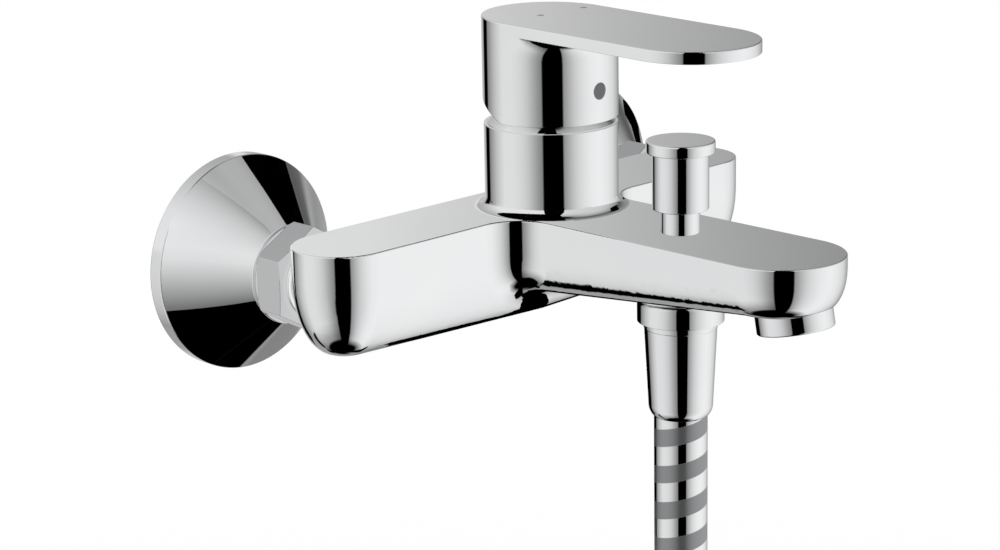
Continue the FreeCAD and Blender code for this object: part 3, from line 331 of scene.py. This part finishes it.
def greyRamp(tree, value, stops, low, high):
    # stops are (angle, grey) from low to high
    node = tree.nodes.new("ShaderNodeValToRGB")
    elements = node.color_ramp.elements
    while len(elements) > 1:
        elements.remove(elements[-1])
    elements[0].position = 0
    elements[0].color = (stops[0][1], stops[0][1], stops[0][1], 1)
    for angle, grey in stops[1:]:
        elements.new((angle - low) / (high - low)).color = (grey, grey, grey, 1)
    place = sums(tree, "MULTIPLY_ADD", value, 1 / (high - low), -low / (high - low))
    tree.links.new(place, node.inputs["Fac"])
    return node.outputs["Color"]


def plateLight(tree, grey, s):
    # the light that polished plate shows as the given grey
    return sums(tree, "DIVIDE", sums(tree, "POWER", grey, s["screenPower"]), s["plateGrey"])


def buildWorld(s):
    # to the camera the studio is plain white; polished metal sees its grey walls and black flags
    world = bpy.data.worlds.new("studioWorld")
    bpy.context.scene.world = world
    world.use_nodes = True
    tree = world.node_tree
    tree.nodes.clear()
    output = tree.nodes.new("ShaderNodeOutputWorld")
    background = tree.nodes.new("ShaderNodeBackground")
    direction = tree.nodes.new("ShaderNodeTexCoord")
    turn = tree.nodes.new("ShaderNodeVectorRotate")
    turn.rotation_type = "Z_AXIS"
    turn.inputs["Angle"].default_value = -math.radians(s["towardsCamera"])
    tree.links.new(direction.outputs["Generated"], turn.inputs["Vector"])
    parts = tree.nodes.new("ShaderNodeSeparateXYZ")
    tree.links.new(turn.outputs[0], parts.inputs[0])
    x, y, z = parts.outputs
    degree = 180 / math.pi
    around = sums(tree, "MULTIPLY", sums(tree, "ARCTAN2", y, x), degree)
    height = sums(tree, "MULTIPLY", sums(tree, "ARCSINE", z), degree)
    side = greyRamp(tree, around, s["side"], -180, 180)
    upper = greyRamp(tree, around, s["upper"], -180, 180)
    upper = sums(tree, "MULTIPLY", upper, greyRamp(tree, height, s["high"], 0, 90))
    left = greyRamp(tree, height, s["leftDepth"], -90, 0)
    right = greyRamp(tree, height, s["rightDepth"], -90, 0)
    depth = mixValue(tree, smoothStep(tree, y, *s["sideBlend"]), left, right)
    grey = sums(tree, "MULTIPLY", side, depth)
    grey = mixValue(tree, smoothStep(tree, height, *s["lift"]), grey, upper)
    for middle, halfWidth, level, halfHeight, soft, slant, cardGrey in s["cards"]:
        # distance from the card's middle line round, and from its level up and down
        lean = sums(tree, "MULTIPLY_ADD", height, slant, -middle - slant * level)
        turned = sums(tree, "WRAP", sums(tree, "ADD", around, lean), 180, -180)
        away = sums(tree, "ABSOLUTE", turned)
        above = sums(tree, "ABSOLUTE", sums(tree, "SUBTRACT", height, level))
        inside = sums(tree, "MULTIPLY",
                      smoothStep(tree, away, halfWidth + soft / 2, halfWidth - soft / 2),
                      smoothStep(tree, above, halfHeight + soft / 2, halfHeight - soft / 2))
        grey = mixValue(tree, inside, grey, float(cardGrey))
    light = plateLight(tree, grey, s)
    path = tree.nodes.new("ShaderNodeLightPath")
    seen = mixColour(tree, path.outputs["Is Glossy Ray"], (1, 1, 1), light)
    tree.links.new(seen, background.inputs["Color"])
    tree.links.new(background.outputs[0], output.inputs["Surface"])


buildWorld(studio)
print("studio built")

# shader groups shared by the finishes


def newGroup(name, inputs, outputs):
    group = bpy.data.node_groups.new(name, "ShaderNodeTree")
    for label, kind, value in inputs:
        socket = group.interface.new_socket(label, in_out="INPUT", socket_type=kind)
        if value is not None:
            socket.default_value = value
    for label, kind in outputs:
        group.interface.new_socket(label, in_out="OUTPUT", socket_type=kind)
    return group, group.nodes.new("NodeGroupInput"), group.nodes.new("NodeGroupOutput")


def noise(tree, vector, scale, detail=2.0, roughness=0.5):
    node = tree.nodes.new("ShaderNodeTexNoise")
    tree.links.new(vector, node.inputs["Vector"])
    join(tree, node.inputs["Scale"], scale)
    node.inputs["Detail"].default_value = detail
    node.inputs["Roughness"].default_value = roughness
    return node.outputs["Fac"]


def polishGroup():
    # slow and fine unevenness of a finished surface: a shade, a roughness and a height
    group, source, result = newGroup("surfacePolish", [
        ("Position", "NodeSocketVector", None), ("Slow Scale", "NodeSocketFloat", 30.0),
        ("Fine Scale", "NodeSocketFloat", 900.0), ("Smoothest", "NodeSocketFloat", 0.02),
        ("Roughest", "NodeSocketFloat", 0.05)],
        [("Shade", "NodeSocketFloat"), ("Roughness", "NodeSocketFloat"),
         ("Height", "NodeSocketFloat")])
    position = source.outputs["Position"]
    slow = smoothStep(group, noise(group, position, source.outputs["Slow Scale"], 3.0), 0.35, 0.65)
    fine = noise(group, position, source.outputs["Fine Scale"], 2.0, 0.6)
    blend = sums(group, "ADD", sums(group, "MULTIPLY", slow, 0.6), sums(group, "MULTIPLY", fine, 0.4))
    rough = mixValue(group, blend, source.outputs["Smoothest"], source.outputs["Roughest"])
    group.links.new(slow, result.inputs["Shade"])
    group.links.new(rough, result.inputs["Roughness"])
    group.links.new(fine, result.inputs["Height"])
    return group


def threadGroup():
    # screw thread on a pin along Y: the height is a ridge that climbs one pitch for each turn, and
    # the groove mask marks where the colour is darkened as painted shade
    group, source, result = newGroup("screwThread", [
        ("Position", "NodeSocketVector", None), ("Middle X", "NodeSocketFloat", 0.0),
        ("Middle Z", "NodeSocketFloat", 0.0), ("Pitch", "NodeSocketFloat", 0.0018),
        ("From Y", "NodeSocketFloat", 0.0)],
        [("Height", "NodeSocketFloat"), ("Groove Shade", "NodeSocketFloat")])
    parts = group.nodes.new("ShaderNodeSeparateXYZ")
    group.links.new(source.outputs["Position"], parts.inputs[0])
    x, y, z = parts.outputs
    angle = sums(group, "ARCTAN2", sums(group, "SUBTRACT", z, source.outputs["Middle Z"]),
                 sums(group, "SUBTRACT", x, source.outputs["Middle X"]))
    turns = sums(group, "ADD", sums(group, "DIVIDE", y, source.outputs["Pitch"]),
                 sums(group, "DIVIDE", angle, 2 * math.pi))
    ridge = sums(group, "PINGPONG", turns, 0.5)
    ridge = sums(group, "MULTIPLY", ridge, 2.0)
    there = sums(group, "GREATER_THAN", y, source.outputs["From Y"])
    group.links.new(sums(group, "MULTIPLY", ridge, there), result.inputs["Height"])
    grooveShade = sums(group, "MULTIPLY", smoothStep(group, ridge, 0.45, 0.05), there)
    group.links.new(grooveShade, result.inputs["Groove Shade"])
    return group


surfacePolish = polishGroup()
screwThread = threadGroup()


def newMaterial(name):
    material = bpy.data.materials.new(name)
    material.use_nodes = True
    tree = material.node_tree
    return material, tree, tree.nodes["Principled BSDF"]


def place(tree):
    return tree.nodes.new("ShaderNodeTexCoord").outputs["Object"]


def useGroup(tree, group, **values):
    node = tree.nodes.new("ShaderNodeGroup")
    node.node_tree = group
    for label, value in values.items():
        join(tree, node.inputs[label.replace("_", " ")], value)
    return node.outputs


def bump(tree, shader, height, distance, strength=1.0):
    node = tree.nodes.new("ShaderNodeBump")
    node.inputs["Distance"].default_value = distance
    node.inputs["Strength"].default_value = strength
    tree.links.new(height, node.inputs["Height"])
    tree.links.new(node.outputs["Normal"], shader.inputs["Normal"])


# finishes: colours as two shades, the second one in the slow patches
finishes = {
    "chrome": {"colours": ((0.860, 0.865, 0.870), (0.845, 0.852, 0.860)), "metallic": 1.0,
               "rough": (0.012, 0.035), "slow": 30, "fine": 900, "bump": 0, "edge": 0.0003},
    # the union nuts: the same chrome with a darker colour, painted shade for the darker reflections
    # they show
    "shadedNutChrome": {"colours": ((0.600, 0.605, 0.610), (0.585, 0.592, 0.600)), "metallic": 1.0,
                 "rough": (0.02, 0.05), "slow": 30, "fine": 900, "bump": 0, "edge": 0.0004},
    "grey_plastic": {"colours": ((0.172, 0.175, 0.181), (0.155, 0.158, 0.164)), "metallic": 0.0,
                     "rough": (0.38, 0.50), "slow": 160, "fine": 2600, "bump": 0.00002},
    "brass": {"colours": ((0.72, 0.55, 0.28), (0.62, 0.45, 0.20)), "metallic": 1.0,
              "rough": (0.16, 0.34), "slow": 90, "fine": 1600, "bump": 0.00002},
    "steel": {"colours": ((0.60, 0.61, 0.62), (0.52, 0.53, 0.55)), "metallic": 1.0,
              "rough": (0.20, 0.36), "slow": 120, "fine": 1800, "bump": 0.00001},
    "ceramic": {"colours": ((0.86, 0.85, 0.81), (0.82, 0.80, 0.76)), "metallic": 0.0,
                "rough": (0.12, 0.24), "slow": 200, "fine": 3000, "bump": 0},
    "white_plastic": {"colours": ((0.80, 0.80, 0.78), (0.74, 0.74, 0.73)), "metallic": 0.0,
                      "rough": (0.34, 0.48), "slow": 120, "fine": 2400, "bump": 0.00002},
    "rubber": {"colours": ((0.028, 0.028, 0.029), (0.040, 0.039, 0.038)), "metallic": 0.0,
               "rough": (0.58, 0.76), "slow": 200, "fine": 2200, "bump": 0.00004},
}


def makeFinish(name, f):
    material, tree, shader = newMaterial(name)
    position = place(tree)
    polish = useGroup(tree, surfacePolish, Position=position, Slow_Scale=float(f["slow"]),
                      Fine_Scale=float(f["fine"]), Smoothest=f["rough"][0], Roughest=f["rough"][1])
    colour = mixColour(tree, polish["Shade"], *f["colours"])
    tree.links.new(colour, shader.inputs["Base Color"])
    tree.links.new(polish["Roughness"], shader.inputs["Roughness"])
    shader.inputs["Metallic"].default_value = f["metallic"]
    if f["bump"]:
        bump(tree, shader, polish["Height"], f["bump"])
    if f.get("edge"):
        edge = tree.nodes.new("ShaderNodeBevel")      # the soft edge that polishing leaves
        edge.samples = 6
        edge.inputs["Radius"].default_value = f["edge"]
        tree.links.new(edge.outputs["Normal"], shader.inputs["Normal"])
    return material, tree, shader, position, colour


# the handle's top has two small inset dots, one at each side of its middle. The recesses aren't
# shaped: their shade is painted as dark, less metallic colour
dotSettings = {
    "centres": ((-0.0037, -0.0653, 0.0746), (0.0148, -0.0659, 0.0746)),
    "radius": 0.0012,
    "softEdge": 0.15,             # as a share of the radius
    # dark colour that stands in for the recesses' shade: painted shade
    "colour": (0.10, 0.10, 0.105),
    "metallic": 0.2,
}


def makeHandleChrome(s):
    material, tree, shader, position, colour = makeFinish("handleChrome", finishes["chrome"])
    dotShades = None
    for centre in s["centres"]:
        away = tree.nodes.new("ShaderNodeVectorMath")
        away.operation = "DISTANCE"
        tree.links.new(position, away.inputs[0])
        away.inputs[1].default_value = centre
        dotShade = smoothStep(tree, away.outputs["Value"], s["radius"] * (1 + s["softEdge"]),
                         s["radius"] * (1 - s["softEdge"]))
        dotShades = dotShade if dotShades is None else sums(tree, "MAXIMUM", dotShades, dotShade)
    # painted shade of the two recesses: darker and less metallic colour in a round patch
    tree.links.new(mixColour(tree, dotShades, colour, s["colour"]), shader.inputs["Base Color"])
    tree.links.new(mixValue(tree, dotShades, 1.0, s["metallic"]), shader.inputs["Metallic"])
    return material


threadSettings = {
    "pitch": 0.001814,
    "depth": 0.0009,
    "fromY": 0.0,
    "middleZ": -0.006,
    # darker colour in the thread's grooves: painted shade
    "grooveShadeColour": (0.30, 0.20, 0.08),
}


def makeThreadedBrass(name, middleX, s):
    material, tree, shader, position, colour = makeFinish(name, finishes["brass"])
    thread = useGroup(tree, screwThread, Position=position, Middle_X=middleX, Middle_Z=s["middleZ"],
                      Pitch=s["pitch"], From_Y=s["fromY"])
    bump(tree, shader, thread["Height"], s["depth"])
    # the grooves are painted darker: painted shade in the recesses
    shade = mixColour(tree, thread["Groove Shade"], colour, s["grooveShadeColour"])
    tree.links.new(shade, shader.inputs["Base Color"])
    return material


# clear skin over a spiral of grey and silver bands
spiralSettings = {
    "pitch": 0.01175,
    "greyShare": 0.48,
    "softEdge": 0.02,
    "grey": (0.27, 0.275, 0.28),
    "silver": (0.86, 0.865, 0.87),
    "greyMetallic": 0.75,
    "greyRoughness": 0.30,
    "skin": 0.6,
    "skinRoughness": 0.03,
}


def makeSpiral(s):
    material, tree, shader = newMaterial("hoseSpiral")
    wrap = tree.nodes.new("ShaderNodeUVMap")
    wrap.uv_map = "wrap"
    parts = tree.nodes.new("ShaderNodeSeparateXYZ")
    tree.links.new(wrap.outputs[0], parts.inputs[0])
    # the band's place is metres along divided by the pitch, less the share of a turn round
    pitches = sums(tree, "MULTIPLY", parts.outputs[1], 1 / s["pitch"])
    turn = sums(tree, "SUBTRACT", pitches, parts.outputs[0])
    ridge = sums(tree, "MULTIPLY", sums(tree, "PINGPONG", turn, 0.5), 2.0)
    grey = smoothStep(tree, ridge, s["greyShare"] + s["softEdge"], s["greyShare"] - s["softEdge"])
    polish = useGroup(tree, surfacePolish, Position=place(tree), Slow_Scale=60.0, Fine_Scale=900.0,
                      Smoothest=0.03, Roughest=0.06)
    tree.links.new(mixColour(tree, grey, s["silver"], s["grey"]), shader.inputs["Base Color"])
    tree.links.new(mixValue(tree, grey, 1.0, s["greyMetallic"]), shader.inputs["Metallic"])
    rough = mixValue(tree, grey, polish["Roughness"], s["greyRoughness"])
    tree.links.new(rough, shader.inputs["Roughness"])
    shader.inputs["Coat Weight"].default_value = s["skin"]
    shader.inputs["Coat Roughness"].default_value = s["skinRoughness"]
    return material


weaveSettings = {
    "yarns": 1400.0,              # in a metre
    "high": (0.030, 0.030, 0.033),
    # colour of the weave's low places, darker: painted shade
    "low": (0.014, 0.014, 0.016),
    "depth": 0.0002,
}


def makeStrapCloth(s):
    material, tree, shader = newMaterial("strapWeave")
    wrap = tree.nodes.new("ShaderNodeUVMap")
    wrap.uv_map = "wrap"
    parts = tree.nodes.new("ShaderNodeSeparateXYZ")
    tree.links.new(wrap.outputs[0], parts.inputs[0])
    # plain weave: a yarn lies high where the sines of its two directions agree, and the colour is
    # lighter there and darker where it lies low, as painted shade in the weave
    a = sums(tree, "SINE", sums(tree, "MULTIPLY", parts.outputs[0], s["yarns"] * math.pi))
    b = sums(tree, "SINE", sums(tree, "MULTIPLY", parts.outputs[1], s["yarns"] * math.pi))
    height = sums(tree, "MULTIPLY_ADD", sums(tree, "MULTIPLY", a, b), 0.5, 0.5)
    tree.links.new(mixColour(tree, height, s["low"], s["high"]), shader.inputs["Base Color"])
    shader.inputs["Roughness"].default_value = 0.7
    shader.inputs["Sheen Weight"].default_value = 0.3
    bump(tree, shader, height, s["depth"])
    return material


materials = {name: makeFinish(name + "Finish", f)[0] for name, f in finishes.items()}
materials["hose"] = makeSpiral(spiralSettings)
materials["strap"] = makeStrapCloth(weaveSettings)
# pieces whose finish differs from their slot's
ownFinishes = {
    "s_union_left": makeThreadedBrass("threadedBrassLeft", -0.075, threadSettings),
    "s_union_right": makeThreadedBrass("threadedBrassRight", 0.075, threadSettings),
    "handle": makeHandleChrome(dotSettings),
    # the union nuts take the darker copy of chrome: painted shade
    "union_nut_left": materials["shadedNutChrome"],
    "union_nut_right": materials["shadedNutChrome"],
}
for subpart in frame["record"]["subparts"]:
    node = nodes[subpart["node"]]
    finish = ownFinishes.get(subpart["node"], materials[subpart["material_slot"]])
    node.data.materials.clear()
    node.data.materials.append(finish)
    node.visible_glossy = False       # the studio is fitted to each face: faces don't see each other
hose.data.materials.append(materials["hose"])
hose.visible_glossy = False
for strap in straps:
    strap.data.materials.append(materials["strap"])
    strap.visible_glossy = False
print("finishes done")

# floor
floorSettings = {"level": -0.30, "half": 6.0, "colour": (0.90, 0.90, 0.90), "lift": 0.10}


def makeFloor(s):
    half, level = s["half"], s["level"]
    mesh = bpy.data.meshes.new("floor")
    corners = [(x * half, y * half, level) for x, y in ((-1, -1), (1, -1), (1, 1), (-1, 1))]
    mesh.from_pydata(corners, [], [(0, 1, 2, 3)])
    floor = bpy.data.objects.new("floor", mesh)
    bpy.context.scene.collection.objects.link(floor)
    material, tree, shader = newMaterial("paleFloor")
    shader.inputs["Base Color"].default_value = (*s["colour"], 1)
    shader.inputs["Roughness"].default_value = 0.9
    shader.inputs["Specular IOR Level"].default_value = 0.0
    shader.inputs["Emission Strength"].default_value = 1.0
    path = tree.nodes.new("ShaderNodeLightPath")
    lift = sums(tree, "MULTIPLY", path.outputs["Is Camera Ray"], s["lift"])
    tree.links.new(lift, shader.inputs["Emission Color"])
    mesh.materials.append(material)
    floor.visible_glossy = False


makeFloor(floorSettings)
print("floor made")

# cards close to the part, which only polished metal sees. "corners" are metres forward from the
# middle of the wall plane to the camera's side, to the right, and up; "places" are X, Y and Z.
# "sideways" and "steep" say from which directions a card is clear
cardSettings = {
    "cover": {
        "corners": ((0.090, -0.0775, -0.0182), (0.090, -0.044, -0.0182), (0.090, -0.010, 0.090),
                    (0.090, -0.0775, 0.090)),
        "greys": [(-18.2, .43), (-16, .47), (-10, .58), (-4, .68), (2, .78), (8, .86), (14, .89),
                  (26, .89), (32, .87), (44, .82), (56, .77), (80, .69), (90, .66)],
        "fade": 3.4,                  # how fast the grey falls off to the right, above the middle
        "fadeFrom": (0.010, 0.030),
        "lean": 0.35,                 # of the line that it falls off from, with the height
        "sideways": 0.4,
    },
    "coverEdge": {
        "corners": ((0.090, -0.084, -0.0182), (0.090, -0.0775, -0.0182), (0.090, -0.0775, 0.025),
                    (0.090, -0.084, 0.025)),
        "sideways": 0.4,
    },
    # lies over the left of the column's foot, below the dome
    "foot": {
        "corners": ((0.0388, 0.0098, 0.032), (0.0388, 0.0513, 0.032), (0.0868, 0.0513, 0.032),
                    (0.0868, 0.0098, 0.032)),
        "steep": 0.33,
    },
    "footRight": {
        "corners": ((0.0438, 0.0738, 0.032), (0.0258, 0.0758, 0.032), (0.0268, 0.0888, 0.032),
                    (0.0108, 0.0968, 0.032), (0.0128, 0.1038, 0.032), (0.0328, 0.0958, 0.032),
                    (0.0438, 0.0878, 0.032)),
        "steep": 0.69,
    },
    # darkens the upper right of the left cover
    "coverUpper": {
        "places": ((-0.025, -0.016, 0.102), (-0.025, -0.024, 0.094), (-0.025, -0.031, 0.084),
                   (-0.025, -0.040, 0.076), (-0.025, -0.046, 0.068), (-0.025, -0.040, 0.058),
                   (-0.025, -0.024, 0.024), (-0.025, -0.015, 0.022), (-0.025, -0.010, 0.029),
                   (-0.025, 0.003, 0.036), (-0.025, 0.004, 0.050), (-0.025, -0.003, 0.062),
                   (-0.025, -0.008, 0.080)),
        "steep": 0.70,
    },
}
# black cards behind and beside the body, corners along X, Y and Z
wallCards = {
    "armCard": ((0, -0.005, -0.080), (0.032, -0.005, -0.126), (0.082, -0.005, -0.196),
                (0.150, -0.005, -0.290), (0.200, -0.005, -0.290), (0.150, -0.005, -0.196),
                (0.118, -0.005, -0.018), (0, -0.005, -0.018)),
    "cornerCard": ((0.020, -0.072, -0.040), (0.020, -0.052, -0.040), (0.020, -0.040, -0.048),
                   (0.020, -0.030, -0.050), (0.020, -0.030, -0.058), (0.020, -0.036, -0.066),
                   (0.020, -0.033, -0.092), (0.020, -0.040, -0.096), (0.020, -0.041, -0.068),
                   (0.020, -0.050, -0.062), (0.020, -0.058, -0.056), (0.020, -0.072, -0.052)),
    "rightCoverCard": ((0.125, -0.012, 0.010), (0.125, -0.012, 0.017), (0.125, -0.004, 0.020),
                       (0.125, -0.003, 0.026), (0.125, 0.005, 0.026), (0.125, 0.009, 0.018),
                       (0.125, 0.009, 0.009), (0.125, 0, 0.007), (0.125, -0.006, 0.008)),
}


def stageCard(name, corners):
    mesh = bpy.data.meshes.new(name)
    mesh.from_pydata([tuple(c) for c in corners], [], [tuple(range(len(corners)))])
    card = bpy.data.objects.new(name, mesh)
    bpy.context.scene.collection.objects.link(card)
    material, tree, shader = newMaterial(name + "Grey")
    shader.inputs["Base Color"].default_value = (0, 0, 0, 1)
    shader.inputs["Specular IOR Level"].default_value = 0.0
    mesh.materials.append(material)
    card.visible_camera = False
    card.visible_diffuse = False
    card.visible_transmission = False
    card.visible_shadow = False
    return tree, shader


def clearWhere(tree, shader, factor):
    # the card lets a ray through where the factor is 1
    gap = tree.nodes.new("ShaderNodeBsdfTransparent")
    mix = tree.nodes.new("ShaderNodeMixShader")
    tree.links.new(factor, mix.inputs[0])
    tree.links.new(shader.outputs[0], mix.inputs[1])
    tree.links.new(gap.outputs[0], mix.inputs[2])
    tree.links.new(mix.outputs[0], tree.nodes["Material Output"].inputs["Surface"])


def fromBehind(tree):
    return tree.nodes.new("ShaderNodeNewGeometry").outputs["Backfacing"]


def cardGreys(tree, shader, s, across):
    position = place(tree)
    parts = tree.nodes.new("ShaderNodeSeparateXYZ")
    tree.links.new(position, parts.inputs[0])
    height = parts.outputs[2]
    low, high = s["greys"][0][0], s["greys"][-1][0]
    grey = greyRamp(tree, sums(tree, "MULTIPLY", height, 1000.0), s["greys"], low, high)
    side = tree.nodes.new("ShaderNodeVectorMath")
    side.operation = "DOT_PRODUCT"
    tree.links.new(position, side.inputs[0])
    side.inputs[1].default_value = tuple(across)
    # how far right of a line that leans with the height
    fromEdge = sums(tree, "SUBTRACT", side.outputs["Value"], s["corners"][0][1])
    right = sums(tree, "SUBTRACT", fromEdge, sums(tree, "MULTIPLY", height, s["lean"]))
    fall = sums(tree, "MULTIPLY", sums(tree, "MULTIPLY", right, s["fade"]),
                smoothStep(tree, height, *s["fadeFrom"]))
    grey = sums(tree, "MULTIPLY", grey, sums(tree, "SUBTRACT", 1.0, fall))
    light = plateLight(tree, grey, studio)
    tree.links.new(light, shader.inputs["Emission Color"])
    shader.inputs["Emission Strength"].default_value = 1.0


def makeCards():
    # corner = forward * towards + round * across + (0, 0, up)
    a = math.radians(studio["towardsCamera"])
    towards = np.array((math.cos(a), math.sin(a), 0))
    across = np.array((-math.sin(a), math.cos(a), 0))
    for name, s in cardSettings.items():
        if "places" in s:
            corners = s["places"][::-1]
        else:
            corners = [f * towards + u * across + (0, 0, v) for f, u, v in s["corners"]]
        tree, shader = stageCard(name + "Card", corners)
        if "greys" in s:
            cardGreys(tree, shader, s, across)
        # the weight's facing is small where a ray follows the given direction: upright cards let
        # sideways rays through, and the flat one lets all through but steep ones
        along = tree.nodes.new("ShaderNodeCombineXYZ")
        for socket, value in zip(along.inputs, across if "sideways" in s else (0, 0, 1)):
            socket.default_value = value
        weight = tree.nodes.new("ShaderNodeLayerWeight")
        tree.links.new(along.outputs[0], weight.inputs["Normal"])
        if "sideways" in s:
            clear = sums(tree, "LESS_THAN", weight.outputs["Facing"], s["sideways"])
        else:
            clear = sums(tree, "MAXIMUM", fromBehind(tree),
                         sums(tree, "GREATER_THAN", weight.outputs["Facing"], s["steep"]))
        clearWhere(tree, shader, clear)
    for name, corners in wallCards.items():
        tree, shader = stageCard(name, corners)
        clearWhere(tree, shader, fromBehind(tree))


makeCards()
print("cards made")
